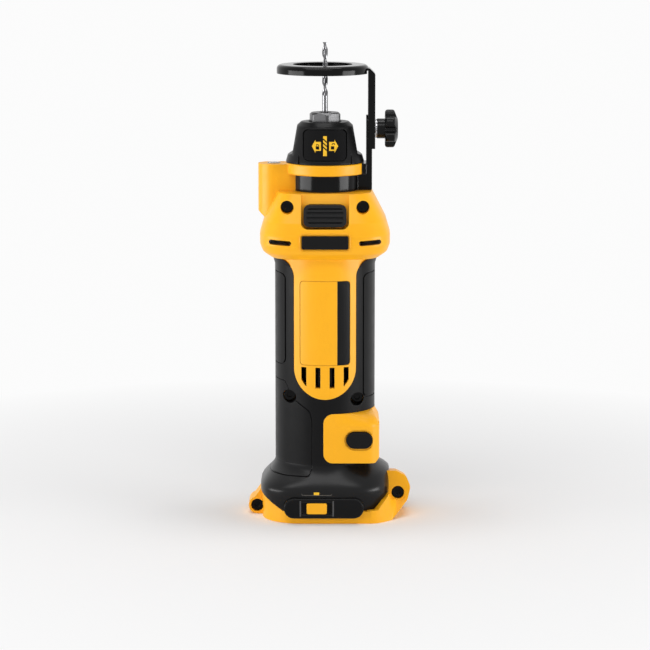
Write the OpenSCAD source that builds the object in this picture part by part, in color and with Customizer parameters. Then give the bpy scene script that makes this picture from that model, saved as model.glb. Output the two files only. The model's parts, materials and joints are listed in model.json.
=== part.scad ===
// Cordless drywall cut-out tool, standing on its battery foot.
// The spindle is on the Z axis, the foot's underside is at zero and the front faces -Y.

/* [Handle] */
// Height of the head's underside above the foot
handle_h = 151.6; // [142:0.1:160]
// Outer radius of the hand grip
grip_r = 28.7; // [28:0.1:30]
// Thickness of the rubber on the handle
rubber_t = 2; // [1.6:0.1:2.4]
// Wall of the handle core
core_wall = 2.5; // [2:0.1:2.8]
// Half width of the front panel
panel_half = 17.6; // [16:0.1:19]
// Height of the panel's lowest point above the foot
panel_low = 71.2; // [68:0.1:76]
// Radius of the panel's flare into the head
panel_flare = 10; // [8:0.1:13]
// Spacing of the intake vents
vent_pitch = 8; // [7:0.1:8.5]
// Width of one intake vent
vent_w = 2.8; // [1.5:0.1:4]
// Length of the inner intake vents
vent_l = 12; // [9:0.1:13]
// Height of the bare label plate on the panel
plate_h = 48; // [40:0.1:50]

/* [Head] */
// Height of the head from its underside to its ledge
head_h = 36.7; // [35:0.1:40]
// Largest radius of the head
head_r = 37.1; // [36:0.1:40]
// Radius of the head's underside
under_r = 30.9; // [30.3:0.1:32]
// Radius of the ledge on top of the head
ledge_r = 26.7; // [26:0.1:28]
// Width of the thumb switch
switch_w = 24; // [20:0.1:26]
// Height of the thumb switch
switch_h = 11.8; // [11:0.1:12.8]
// Travel of the thumb switch
switch_travel = 6; // [4:0.1:6.2]
// Width of the blank badge below the switch
badge_w = 26; // [20:0.1:30]
// Height of the blank badge below the switch
badge_h = 7.4; // [5:0.1:8]
// Length of one exhaust slot
exhaust_l = 12.6; // [8:0.1:14]
// Height of one exhaust slot
exhaust_h = 2.8; // [2:0.1:4]

/* [Nose] */
// Height of the neck between the ledge and the collar
neck_h = 9.5; // [9:0.1:14]
// Outer radius of the neck
neck_r = 17.3; // [17.1:0.1:17.6]
// Outer radius of the collar
collar_r = 22.8; // [22:0.1:23]
// Height of the collar
collar_h = 6.2; // [5:0.1:8]
// Height of the turning sleeve above the collar
nose_h = 23; // [22:0.1:27]
// Radius of the sleeve's base
sleeve_r = 22.2; // [21:0.1:22.6]
// Width of the collet nut across its flats
nut_af = 16.5; // [15:0.1:16.6]
// Height of the collet nut above the sleeve
nut_out = 5.1; // [4:0.1:7]
// Radius of the cutting bit
bit_r = 1.6; // [1.2:0.1:2]
// Length of the cutting bit above the collet nut
bit_out = 39.6; // [35:0.1:46]
// Length of the bit's flutes
flute_l = 30; // [24:0.1:32]
// Lead of the bit's flutes
flute_lead = 16; // [12:0.1:24]

/* [Work light] */
// Reach of the lamp pod from the spindle axis
lamp_reach = 38.1; // [37.5:0.1:40]
// Half width of the lamp pod
lamp_half = 9; // [8:0.1:10]
// Radius of the lens
lens_r = 4; // [3:0.1:5]

/* [Depth guide] */
// Outer radius of the guide ring
ring_r = 26.1; // [25:0.1:27]
// Radius of the opening in the guide ring
ring_bore = 17; // [14:0.1:18]
// Thickness of the guide's sheet steel
sheet_t = 1.9; // [1.5:0.1:2]
// Height of the ring's skirt
skirt_h = 5; // [4:0.1:6]
// Height of the guide ring above the collet nut
ring_lift = 27.2; // [24:0.1:31]
// Distance of the strap's inner face from the spindle axis
strap_x = 23.4; // [23.2:0.1:25]
// Width of the strap
strap_w = 9; // [8:0.1:11]
// Thickness of the strap
strap_t = 3.4; // [2.5:0.1:3.8]
// Downward travel of the guide
guide_down = 18; // [12:0.1:18.5]
// Upward travel of the guide
guide_up = 5; // [3:0.1:5.5]

/* [Clamp knob] */
// Radius over the lobes of the knob
knob_r = 10.8; // [9:0.1:12]
// Length of the knob's lobes
knob_l = 7.4; // [6:0.1:9]
// Number of lobes
knob_lobes = 6; // [5:1:8]
// Radius of the knob's stem
stem_r = 5.7; // [4.8:0.1:6.2]
// Length of the knob's stem
stem_l = 4.4; // [3:0.1:6]
// Radius of the clamp stud
stud_r = 2.5; // [2:0.1:3]

/* [Foot] */
// Half width of the foot over its rubber
foot_half_x = 37.2; // [36.8:0.1:40]
// Half depth of the foot over its rubber
foot_half_y = 35; // [34.4:0.1:38]
// Height of the base block
base_h = 16; // [15:0.1:17]
// Depth of the battery channel
channel_h = 12.6; // [11:0.1:13]
// Half width of the battery channel between its walls
channel_half = 24; // [22:0.1:26]
// Width of each battery rail
rail_w = 3.4; // [2.5:0.1:4]
// Thickness of each battery rail
rail_t = 2.8; // [2:0.1:3.5]
// Width of the front bezel
bezel_w = 45.4; // [40:0.1:48]
// Height of the front bezel
bezel_h = 11.4; // [10.5:0.1:12]
// Travel of the foot slide to each side
slide_travel = 2.8; // [1.5:0.1:3]

/* [Side pod] */
// Reach of the side pod from the handle's axis
pod_reach = 31.1; // [30.7:0.1:32]
// Height of the side pod's lower edge above the foot
pod_low = 34.2; // [34:0.1:38]
// Height of the side pod
pod_h = 28.6; // [26:0.1:31]
// Width of the oblong button
button_w = 14.6; // [12:0.1:15]
// Height of the oblong button
button_h = 9.4; // [8:0.1:11]
// Travel of the oblong button
button_travel = 1.2; // [0.6:0.1:1.4]

/* [Motor] */
// Outer radius of the motor can
motor_r = 21.5; // [20.8:0.1:21.7]
// Length of the motor can
motor_l = 58; // [54:0.1:59]
// Radius of the spindle
spindle_r = 4; // [3.5:0.1:4.5]
// Outer radius of the cooling fan
fan_r = 20.4; // [18:0.1:20.8]
// Number of fan blades
fan_blades = 9; // [7:1:12]

/* [Hidden] */
$fn = 96;
// Overrun of every cut
over = 1;
// Gap between pieces that move past each other
run_gap = 0.3;
// Radial clearance of a running fit
fit_gap = 0.05;
// Gap between fixed pieces
seam = 0.05;
// Steps of a rounded corner
arc_steps = 5;

// Heights of the housing, from the foot up
core_r = grip_r - rubber_t;
bore_r = core_r - core_wall;
head_z = handle_h;
ledge_z = head_z + head_h;
collar_z = ledge_z + neck_h;
collar_top = collar_z + collar_h;
sleeve_z = collar_top + run_gap;
nose_top = sleeve_z + nose_h;
nut_top = nose_top + nut_out;
ring_top = nut_top + ring_lift;
bit_tip = nut_top + bit_out;
reach = bit_tip;

// Head outline: shares of the step from ledge to full radius, and of the head's height
head_shares = [[0.86, 0.093], [1, 0.207], [1, 0.362], [0.78, 0.567]];
head_round = 4;
edge_round = 0.8;
// Cross-section of the head: depth as a share of its width, power of its rounded square, and steps
head_depth_share = 0.95;
head_square = 4;
head_points = 48;
head_arc_steps = 2;
head_front = head_r * head_depth_share;

// Chambers inside the housing
chamber_rise = 1.4;
chamber_z = head_z + chamber_rise;
chamber_h = 15;
chamber_wall = 8.4;
web_t = 3;
bearing_r = 11;
bearing_h = 7;
bearing_z = chamber_z + chamber_h + web_t;
bearing_lip = 2;
rear_bearing_r = 9.5;
rear_bearing_h = 6;
spigot_r = 15;
spigot_l = 8;
spigot_wall = 4;
nose_bore_r = spigot_r + 2 * fit_gap;
nose_bore_z = bearing_z + bearing_h + bearing_lip;
rib_h = 3;
rib_inset = 6;

// Motor, from the brush end up
motor_drop = 7;
motor_top = chamber_z - motor_drop;
motor_z = motor_top - motor_l;
can_wall = 1.2;
cap_h = 9;
cap_z = motor_z - cap_h;
cap_floor = 2;
air_gap = 0.5;
magnet_t = 3.6;
magnet_arc = 130;
stack_head = 16;
stack_r = motor_r - can_wall - seam - magnet_t - air_gap;
stack_slots = 10;
slot_w = 2.2;
slot_depth_share = 0.42;
winding_h = 7;
winding_inset = 1.6;
commutator_r = 8.5;
commutator_h = 11;
commutator_lift = 1;
commutator_z = motor_z + commutator_lift;
stack_z = commutator_z + commutator_h + winding_h + air_gap;
stack_top = motor_top - stack_head;
magnet_over = 2;
brush_w = 5;
brush_h = 6;
brush_l = 5.5;
holder_wall = 1.4;
ball_share = 0.3;
ball_fill_share = 0.8;
rear_bearing_z = cap_z + cap_floor;

// Spindle nose, collet and nut
flange_r = 8;
flange_h = 9;
flange_lift = 4;
flange_z = nose_bore_z + flange_lift;
holder_r = 7.2;
nut_cap = 5;
holder_top = nut_top - nut_cap;
thread_l = 15;
nut_skirt_r = 9;
nut_round = 9.1;
nut_chamfer = 1.1;
nut_turn = 39;
collet_r = 5;
collet_tip_r = 3.6;
collet_l = 24;
collet_slit = 0.8;
flute_core_share = 0.52;
flute_land_share = 0.7;
flute_slices = 40;
flute_sides = 14;
fan_hub_r = 7;
fan_h = 10;
fan_plate = 1.6;
fan_blade_t = 1.4;
fan_drop = 1.5;
fan_z = chamber_z - fan_drop;
shaft_lift = 0.6;
shaft_low = cap_z + cap_floor + shaft_lift;

// Thumb switch in its recess on the shoulder
recess_y = 25.8;
// Where the recess floor starts to lean back below the ledge, and its depth at the ledge
recess_bend = 6.9;
recess_bend_z = ledge_z - recess_bend;
recess_ledge_y = 22.8;
recess_gap = 1.4;
recess_drop = 19;
recess_z = ledge_z - recess_drop;
recess_round = 3.6;
switch_z = recess_z + recess_gap;
switch_face_low = 33.6;
switch_face_top = 28.4;
switch_round = 3;
switch_rim = 1.7;
rib_n = 3;
rib_face = 1.2;
rib_pitch = 2.7;
rib_d = 0.9;
stem_half = 4;
stem_h = 3;
stem_lift = 1.5;
stem_z = switch_z + stem_lift;
rod_t = 1.5;
rod_y = motor_r + 2 * air_gap + rod_t;
rod_low = 50;
rod_finger_h = 3;
seal_t = 0.8;
seal_half = 9;
module_w = 26;
module_d = 20;
module_h = 36;
module_y = 8;

// Badge, label plate and exhaust on the head and panel
badge_lift = 10.4;
badge_z = head_z + badge_lift;
badge_t = 0.9;
badge_curve = 640;
badge_margin = 0.5;
badge_proud = 0.3;
badge_round = 1;
exhaust_x = 25.3;
exhaust_lift = 10.1;
exhaust_z = head_z + exhaust_lift;
exhaust_tilt = 2.5;
plate_lift = 19.8;
plate_z = panel_low + plate_lift;
plate_half = 14;
plate_t = 0.6;
plate_margin = 0.2;
plate_round = 2;
strip_w = 7;
vent_drop = 1.3;
vent_z = plate_z - vent_drop;

// Sleeve outline
ear_h = 3.2;
ear_slope = 2.1;
flat_low = 18.5;
flat_top = 15.3;
shoulder_r = 16.4;
shoulder_drop = 2.6;
shoulder_z = nose_top - shoulder_drop;
sleeve_top_r = 13.6;
sleeve_lip = 3;
sleeve_round = 2.4;
mark_half = 11.9;
mark_lift = 2.6;
mark_low = sleeve_z + mark_lift;
mark_h = 16.4;
mark_t = 0.9;
mark_margin = 0.7;
slit_x = 14.8;
slit_w = 0.8;
slit_h = 5.2;
slit_y = 14.6;
mark_round = 2.6;

// Lamp pod
lamp_drop = 0.5;
lamp_sink = 14.9;
lamp_low = ledge_z - lamp_sink;
lamp_slant_x = 3.5;
lamp_slant_z = 4.2;
lens_h = 1.6;
lens_proud = 0.5;
board_h = 1.2;
lens_rim = 0.4;
board_r = lens_r - lens_rim;

// Depth guide
ring_shift = 1.35;
ring_plate_z = ring_top - sheet_t;
ring_low = ring_top - skirt_h;
ring_round = 2.4;
post_x = strap_x + strap_t + run_gap;
post_t = 1.4;
post_out = post_x + post_t;
post_half = strap_w / 2 + run_gap + sheet_t;
post_lip = 2.6;
flange_x = post_x - post_lip;
post_clear = 8;
post_low = collar_top + post_clear;
post_round = 1.8;
lip_x = 16.5;
// Slanted bend between the post and its lip under the ring
bend_turn = 45;
bend_drop = 3.2;
bend_x = post_out - bend_drop;
bend_z = ring_plate_z - bend_drop;
bend_inset = post_t * tan(bend_turn / 2);
strap_h = 42.7;
strap_top = ledge_z + strap_h;
knob_drop = 7.9;
knob_z = strap_top - knob_drop;
slot_half = stud_r + run_gap;
band_r = 19.2;
band_gap = 0.2;
band_arc_gap = 0.4;
// Flat on the collar's right, with the bracket's block in front of it
collar_cut = 20.8;
block_half = 9;

// Clamp knob, along X from the post outwards
washer_x = post_out + run_gap;
washer_t = 0.9;
washer_rim = 0.3;
washer_r = stem_r - washer_rim;
washer_teeth = 14;
tooth_d = 0.5;
stem_x = washer_x + washer_t;
star_x = stem_x + stem_l;
lobe_share = 0.29;
knob_shoulder_share = 0.7;
stud_grip = 5;

// Foot
base_left = 36;
base_right = 37;
base_half_y = 33;
base_flange_h = 7;
base_block_half = 36;
base_round_left = 22;
base_round_right = 12;
channel_front = 23;
ear_x = 39.2;
ear_z = 5.1;
ear_r = 5;
ear_half = 8;
ear_root = 30;
ear_rise = 15.7;
ear_rise_x = 36.5;
// Screw lobe at the foot's right, leaning back
lobe_front = 17;
lobe_back = 7.5;
lobe_lean = -9.5;
lobe_mid = [38, 13];
lobe_points = [[ear_root, 0], [39, 0], [47.6, 9.9], [49.4, 17.6], [46.8, 24], [41, 26.9], [ear_root, 26.9]];
lobe_rounds = [0, 3, 6, 5, 5, 4, 0];
lobe_screw_x = 42;
lobe_screw_z = 14.1;
rail_z = 0.6;
// Rubber kept clear round the battery channel's mouth at the rear
mouth_rim = 1.5;
boot_top = 33;
boot_low = 3;
bulge_z = 18;
bulge_right_z = 26;
boot_taper = 3;
boot_step = 0.15;
boot_square = 3.5;
boot_points = 56;
boot_rise = 9;
boot_fall = 4;
// Lower edge of the rubber: half width of its dip, height beside the dip and height at the ends
dip_half = 25;
dip_z = 7.6;
dip_right = 30;
edge_end_z = 15.8;
// Grooves that part the rubber into pads, drawn on the front and taken right through to the rear
pad_groove = 0.7;
pad_depth = 0.7;
pad_round = 3;
pad_drop = 9.6;
pad_top = head_z - pad_drop;
pad_left_x = 22.9;
pad_left_low = 90;
pad_right_x = 22.2;
pad_right_low = 71;
pad_mid = [-20, 50];
low_pad_points = [
  [-reach, 80.2], [-22.9, 80.2], [-18.5, 70.5], [-9, 64], [-7.7, 58], [-7.7, 31], [-9.5, 27.2], [-reach, 24.4]
];
low_pad_rounds = [0, 2, 4, 4, 5, 2, 2, 0];
bezel_z = 9.5;
bezel_y = 36.2;
bezel_back = 33.1;
bezel_x = -0.7;
window_x = -4.7;
window_h = 6.8;
slider_w = 11.5;
slider_d = 2.2;
slider_proud = 0.3;
block_w = 34;
block_d = 18;
block_h = 5.6;
blade_n = 6;
blade_pitch = 5.2;
blade_t = 0.8;
blade_h = 3.6;
blade_l = 9;

// Side pod: a flat block that comes out of the round handle, slanted back above its crease
pod_proud = 0.1;
pod_r = grip_r + pod_proud;
pod_sink = 0.3;
pod_front = grip_r - pod_sink;
pod_top = pod_low + pod_h;
pod_left = -0.9;
pod_back = 13;
pod_round = 5.5;
pod_corner = 7;
crease_lift = 20.6;
crease_z = pod_low + crease_lift;
pod_top_y = 9;
pod_cut_x = 4.2;
pod_cut_z = 6;
pod_low_cut = 2.4;
comb_n = 10;
comb_pitch = 1.8;
comb_h = 0.9;
comb_d = 0.6;
comb_half = 10;
comb_lift = 3.6;
button_x = 19.6;
button_lift = 13.4;
button_z = pod_low + button_lift;
button_proud = 1.2;
button_y = pod_front + button_proud;
button_rim = 1.1;
button_dish = 0.6;
button_curve = 60;
button_edge = button_x - button_w / 2;
button_back = sqrt(core_r * core_r - button_edge * button_edge) + run_gap + button_travel;

// Flare of the rubber under the head
lip_h = 5.4;
grip_lip = 0.5;

// Screws along Y; each place is X, Z, the seat's depth in front of the split plane and the well's radius
screw_r = 1.9;
screw_head_r = 3.3;
screw_head_h = 2.6;
screw_tip = 6.5;
screw_well_r = 3.7;
rubber_lip = 0.8;
grip_well_r = 4.6;
head_seat = 19;
grip_seat = 13;
ear_seat = 4;
lobe_seat = 11;
screw_drive_r = 1.7;
screw_drive_d = 1.6;
boss_r = 5.6;
head_screw_x = 21.3;
head_screw_drop = 7.4;
head_screw_z = ledge_z - head_screw_drop;
// The lower left and lower right screws of the handle are not level
grip_left_x = 20.2;
grip_left_lift = 0.5;
grip_right_x = 18.3;
grip_right_drop = 0.8;
grip_places = [
  [-grip_left_x, panel_low + grip_left_lift, grip_seat, grip_well_r],
  [grip_right_x, panel_low - grip_right_drop, grip_seat, grip_well_r]
];
screw_places = [
  [-head_screw_x, head_screw_z, head_seat, screw_well_r],
  [head_screw_x, head_screw_z, head_seat, screw_well_r],
  grip_places[0],
  grip_places[1],
  [-ear_x, ear_z, ear_seat, screw_well_r],
  [lobe_screw_x, lobe_screw_z, lobe_seat, screw_well_r]
];

yellow = [0.96, 0.68, 0.08];
black = [0.09, 0.09, 0.1];
steel = [0.62, 0.63, 0.65];
copper = [0.72, 0.43, 0.22];

// Outline helpers

function unit(v) = v / norm(v);

function spin(v, a) = [v.x * cos(a) - v.y * sin(a), v.x * sin(a) + v.y * cos(a)];

// Arc of radius r that rounds the corner c between its neighbours p and n
function corner(p, c, n, r, steps) =
  r == 0 ? [c] :
  let (
    u = unit(p - c),
    w = unit(n - c),
    half = acos(u * w) / 2,
    centre = c + unit(u + w) * r / sin(half),
    start = c + u * r / tan(half) - centre,
    finish = c + w * r / tan(half) - centre,
    turn = sign(start.x * finish.y - start.y * finish.x) * (180 - 2 * half)
  )
  [for (k = [0 : steps]) centre + spin(start, turn * k / steps)];

function rounded(points, radii, steps = arc_steps) =
  let (last = len(points) - 1)
  [for (i = [0 : last])
    each corner(points[i == 0 ? last : i - 1], points[i], points[i == last ? 0 : i + 1], radii[i], steps)];

// Points of an outline moved outwards from its middle
function grown(points, middle, grow) = [for (p = points) p + unit(p - middle) * grow];

// One coordinate of a rounded square, from a cosine or sine
function rounded_square(t, power) = sign(t) * pow(abs(t), 2 / power);

// Level outline of n points with half widths x and y at height z
function square_ring(x, y, z, power, n) =
  [for (i = [0 : n - 1]) let (a = 360 * i / n)
    [x * rounded_square(cos(a), power), y * rounded_square(sin(a), power), z]];

// Radius of the sleeve's cone at a height
function cone_r(z) =
  sleeve_r - (sleeve_r - shoulder_r) * (z - sleeve_z - edge_round) / (shoulder_z - sleeve_z - edge_round);

// Smooth step from 0 to 1
function ease(s) = s * s * (3 - 2 * s);

// Solid through level rings of n points each, listed from the top down
module loft(rings, n) {
  last = len(rings) - 1;
  sides = [for (k = [0 : last - 1], i = [0 : n - 1]) let (a = k * n + i, b = k * n + (i + 1) % n)
    each [[a, b, b + n], [a, b + n, a + n]]];
  top = [for (i = [n - 1 : -1 : 0]) i];
  bottom = [for (i = [0 : n - 1]) last * n + i];
  polyhedron([for (ring = rings) each ring], concat(sides, [top, bottom]));
}

module along_y(y0, y1) translate([0, y1, 0]) rotate([90, 0, 0]) linear_extrude(y1 - y0) children();

module along_x(x0, x1) translate([x0, 0, 0]) rotate([90, 0, 90]) linear_extrude(x1 - x0) children();

module disc(r, z0, z1) translate([0, 0, z0]) cylinder(r = r, h = z1 - z0);

module tube(r_out, r_in, z0, z1) {
  translate([0, 0, z0]) linear_extrude(z1 - z0) difference() {
    circle(r_out);
    circle(r_in);
  }
}

module box(x0, x1, y0, y1, z0, z1) translate([x0, y0, z0]) cube([x1 - x0, y1 - y0, z1 - z0]);

// Rectangle with a left and a right corner radius
module round_rect(x0, x1, y0, y1, left, right) {
  translate([x0 + left, y0]) square([x1 - x0 - left - right, y1 - y0]);
  translate([x0, y0 + left]) square([left, y1 - y0 - 2 * left]);
  translate([x1 - right, y0 + right]) square([right, y1 - y0 - 2 * right]);
  for (y = [y0 + left, y1 - left]) translate([x0 + left, y]) circle(left);
  for (y = [y0 + right, y1 - right]) translate([x1 - right, y]) circle(right);
}

module panel_rect(w, h, r) round_rect(-w / 2, w / 2, -h / 2, h / 2, r, r);

// Rectangle with fully round ends
module oblong(w, h) {
  square([w - h, h], center = true);
  for (side = [-1, 1]) translate([side * (w - h) / 2, 0]) circle(h / 2);
}

module front_half() {
  difference() {
    children();
    box(-reach, reach, 0, reach, -reach, 2 * reach);
  }
}

module rear_half() {
  difference() {
    children();
    box(-reach, reach, -reach, 0, -reach, 2 * reach);
  }
}

// Housing

// Head: rounded-square rings through its side outline
module head() {
  step = head_r - ledge_r;
  mid = [for (s = head_shares) [ledge_r + step * s[0], head_z + head_h * s[1]]];
  points = concat(
    [[core_r, head_z], [under_r, head_z]], mid, [[ledge_r, ledge_z], [neck_r, ledge_z]]);
  radii = [0, edge_round, head_round, head_round, head_round, head_round, edge_round, 0];
  side = rounded(points, radii, head_arc_steps);
  loft(
    [for (k = [len(side) - 2 : -1 : 1])
      square_ring(side[k].x, side[k].x * head_depth_share, side[k].y, head_square, head_points)],
    head_points
  );
}

// Handle core below the head, and neck and collar above it
module core_turning() {
  disc(core_r, channel_h, head_z + over);
  difference() {
    rotate_extrude() polygon(rounded(
      [[0, ledge_z - over], [neck_r, ledge_z - over], [neck_r, collar_z], [collar_r, collar_z],
       [collar_r, collar_top], [0, collar_top]],
      [0, 0, 0, edge_round, edge_round, 0]
    ));
    box(collar_cut, reach, -reach, reach, collar_z - over, collar_top + over);
  }
}

module chamber_turning() {
  chamber_r = head_r - chamber_wall;
  rib_r = motor_r + seam;
  low_rib = motor_z + rib_inset;
  high_rib = motor_top - rib_inset - rib_h;
  rotate_extrude() polygon([
    [0, base_h], [bore_r, base_h],
    [bore_r, low_rib], [rib_r, low_rib], [rib_r, low_rib + rib_h], [bore_r, low_rib + rib_h],
    [bore_r, high_rib], [rib_r, high_rib], [rib_r, high_rib + rib_h], [bore_r, high_rib + rib_h],
    [bore_r, chamber_z], [chamber_r, chamber_z], [chamber_r, chamber_z + chamber_h],
    [fan_hub_r + 2 * run_gap, chamber_z + chamber_h], [fan_hub_r + 2 * run_gap, bearing_z],
    [bearing_r + seam, bearing_z], [bearing_r + seam, bearing_z + bearing_h],
    [bearing_r - bearing_lip, bearing_z + bearing_h], [bearing_r - bearing_lip, nose_bore_z],
    [nose_bore_r, nose_bore_z], [nose_bore_r, collar_top + over], [0, collar_top + over]
  ]);
}

// Front panel: straight sides, round lower end and a concave flare into the head
module panel_outline(grow) {
  half = panel_half + grow;
  flare = panel_flare - grow;
  flare_z = head_z - flare - edge_round;
  end_z = panel_low + panel_half;
  translate([-half, end_z]) square([2 * half, head_z + over - end_z]);
  translate([0, end_z]) circle(half);
  for (side = [-1, 1]) translate([side * (half + flare), flare_z]) difference() {
    translate([side < 0 ? 0 : -flare, 0]) square([flare, head_z + over - flare_z]);
    circle(flare);
  }
}

module panels() {
  intersection() {
    disc(grip_r, panel_low - over, head_z + over);
    along_y(-reach, reach) panel_outline(0);
  }
}

module lamp_pod() {
  end_x = lamp_half - lamp_reach;
  intersection() {
    translate([0, 0, lamp_low]) linear_extrude(collar_top - lamp_drop - lamp_low) {
      translate([end_x, -lamp_half]) square([-end_x, 2 * lamp_half]);
      translate([end_x, 0]) circle(lamp_half);
    }
    along_y(-lamp_half - over, lamp_half + over) polygon([
      [0, lamp_low - over], [lamp_slant_x - lamp_reach, lamp_low],
      [-lamp_reach - over, lamp_low + lamp_slant_z], [-lamp_reach - over, collar_top], [0, collar_top]
    ]);
  }
}

// Screw ear at the left end of the foot, on the split plane
module ear_outline(grow) {
  translate([-ear_x, ear_z]) circle(ear_r + grow);
  polygon([
    [-ear_x, ear_z - ear_r - grow], [-ear_x - ear_r - grow, ear_z],
    [-ear_rise_x - grow, ear_rise + grow], [-ear_root, ear_rise + grow], [-ear_root, ear_z - ear_r - grow]
  ]);
}

module base_solid(grow) {
  half_y = base_half_y + grow;
  linear_extrude(base_flange_h + grow)
    round_rect(-base_left - grow, base_right + grow, -half_y, half_y,
      base_round_left + grow, base_round_right + grow);
  linear_extrude(base_h + grow)
    round_rect(-base_left - grow, base_block_half + grow, -half_y, half_y,
      base_round_left + grow, base_round_left + grow);
  along_y(-ear_half - grow, ear_half + grow) ear_outline(grow);
  translate([0, -lobe_front, 0]) rotate([lobe_lean, 0, 0])
    along_y(-grow, lobe_front + lobe_back + grow)
      polygon(rounded(grown(lobe_points, lobe_mid, grow), lobe_rounds));
}

// Battery channel: open underneath and at the rear, with a rail on each side
module battery_channel() {
  inner = channel_half - rail_w;
  box(-channel_half, channel_half, -channel_front, base_half_y + over, rail_z + rail_t, channel_h);
  box(-inner, inner, -channel_front, base_half_y + over, -over, channel_h);
  box(-channel_half, channel_half, -channel_front, base_half_y + over, -over, rail_z);
}

module vents() {
  end_z = panel_low + panel_half;
  rim = panel_half - vent_w;
  intersection() {
    along_y(-reach, reach) for (k = [-1.5 : 1 : 1.5])
      translate([k * vent_pitch - vent_w / 2, vent_z - vent_l]) square([vent_w, vent_l]);
    along_y(-reach, reach) {
      translate([0, end_z]) circle(rim);
      translate([-rim, end_z]) square([2 * rim, vent_l]);
    }
    tube(grip_r + over, bore_r - over, panel_low, plate_z);
  }
}

module exhaust_slots() {
  for (turn = [0, 180]) rotate([0, 0, turn]) for (side = [-1, 1])
    along_y(-head_r, 0) translate([side * exhaust_x, exhaust_z])
      rotate([0, 0, side * exhaust_tilt]) oblong(exhaust_l, exhaust_h);
}

// Recess of the thumb switch, open to the ledge, with the slot that its stem slides in
module switch_recess() {
  half = switch_w / 2 + recess_gap;
  intersection() {
    along_y(-head_r - over, 0) {
      round_rect(-half, half, recess_z, recess_z + 2 * recess_round + over, recess_round, recess_round);
      translate([-half, recess_z + recess_round])
        square([2 * half, ledge_z + over - recess_z - recess_round]);
    }
    along_x(-half - over, half + over) polygon([
      [-reach, recess_z - over], [-recess_y, recess_z - over], [-recess_y, recess_bend_z],
      [-recess_ledge_y, ledge_z], [-recess_ledge_y, ledge_z + 2 * over], [-reach, ledge_z + 2 * over]
    ]);
  }
  slot_half_w = stem_half + run_gap;
  box(-slot_half_w, slot_half_w, -recess_y - over, run_gap - rod_y + rod_t,
    stem_z - run_gap, stem_z + stem_h + switch_travel + run_gap);
  box(-slot_half_w, slot_half_w, -rod_y - run_gap, run_gap - rod_y + rod_t,
    rod_low - run_gap, stem_z + stem_h + switch_travel + run_gap);
  box(-seal_half - seam, seal_half + seam, -recess_y - over, seal_t - recess_y + seam,
    seal_z0() - seam, seal_z1() + seam);
}

function seal_z0() = recess_z + recess_gap;

function seal_z1() = stem_z + stem_h + switch_travel + recess_gap;

module screw_wells() {
  for (p = screw_places) translate([p.x, 0, p.y]) {
    along_y(-reach, -p.z) circle(p[3]);
    along_y(-p.z - over, screw_tip + run_gap) circle(screw_r + fit_gap);
  }
}

module screw_bosses() {
  for (p = grip_places) intersection() {
    along_y(-core_r, core_r) translate([p.x, p.y]) circle(boss_r);
    disc(core_r - seam, p.y - boss_r, p.y + boss_r);
  }
}

// Piece of the head's front skin, from d0 below its surface to d1 above it
module badge_segment(d0, d1, grow) {
  intersection() {
    translate([0, badge_curve - head_front, 0])
      tube(badge_curve + d1, badge_curve - d0, badge_z - badge_h, badge_z + badge_h, $fn = 720);
    along_y(-reach, 0) translate([0, badge_z])
      panel_rect(badge_w + 2 * grow, badge_h + 2 * grow, badge_round + grow);
  }
}

module plate_segment(r0, r1, x0, x1, grow, left, right) {
  intersection() {
    tube(r1, r0, plate_z - over, plate_z + plate_h + over);
    along_y(-reach, 0)
      round_rect(x0 - grow, x1 + grow, plate_z - grow, plate_z + plate_h + grow, left, right);
  }
}

module housing() {
  difference() {
    union() {
      difference() {
        union() {
          core_turning();
          head();
          panels();
          lamp_pod();
          base_solid(0);
        }
        chamber_turning();
      }
      screw_bosses();
    }
    battery_channel();
    vents();
    exhaust_slots();
    switch_recess();
    screw_wells();
    badge_segment(badge_t + seam, over, badge_margin);
    plate_segment(grip_r - plate_t - seam, grip_r + over, -plate_half, plate_half, plate_margin,
      plate_round, plate_round);
    translate([lamp_half - lamp_reach, 0, 0])
      disc(lens_r + seam, collar_top - lamp_drop - lens_h - board_h - seam, collar_top);
    translate([bezel_x, 0, 0]) along_y(-bezel_y, -bezel_back) translate([0, bezel_z])
      oblong(bezel_w + 2 * seam, bezel_h + 2 * seam);
    box(-reach, reach, -reach, reach, -reach, 0);
  }
}

module front_shell() {
  color(yellow) front_half() housing();
}

module rear_shell() {
  color(yellow) rear_half() housing();
}

// Rubber grip

function boot_level(k) =
  k <= boot_rise ? boot_top - (boot_top - bulge_z) * k / boot_rise
                 : bulge_z - (bulge_z - boot_low) * (k - boot_rise) / boot_fall;

function boot_fullness(z, full_z) = z > full_z ? ease((boot_top - z) / (boot_top - full_z)) : 1;

// Half width of the foot at a height, full from full_z down
function boot_half(z, full, full_z) =
  let (fall = z < bulge_z ? (bulge_z - z) / (bulge_z - boot_low) : 0, start = grip_r - boot_step)
  start + (full - start) * boot_fullness(z, full_z) - boot_taper * fall * fall;

// Level outline of the foot, whose right shoulder is higher than its left one
function boot_ring(z, shrink) =
  let (
    left = boot_half(z, foot_half_x, bulge_z) - shrink,
    right = boot_half(z, foot_half_x, bulge_right_z) - shrink,
    deep = boot_half(z, foot_half_y, bulge_z) - shrink,
    power = 2 + (boot_square - 2) * boot_fullness(z, bulge_z)
  )
  [for (p = square_ring(1, deep, z, power, boot_points)) [p.x * (p.x < 0 ? left : right), p.y, p.z]];

// Swollen foot, lofted from the round handle to a rounded square, with its skin taken off by shrink
module boot(shrink) {
  loft([for (k = [0 : boot_rise + boot_fall]) boot_ring(boot_level(k), shrink)], boot_points);
}

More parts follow.
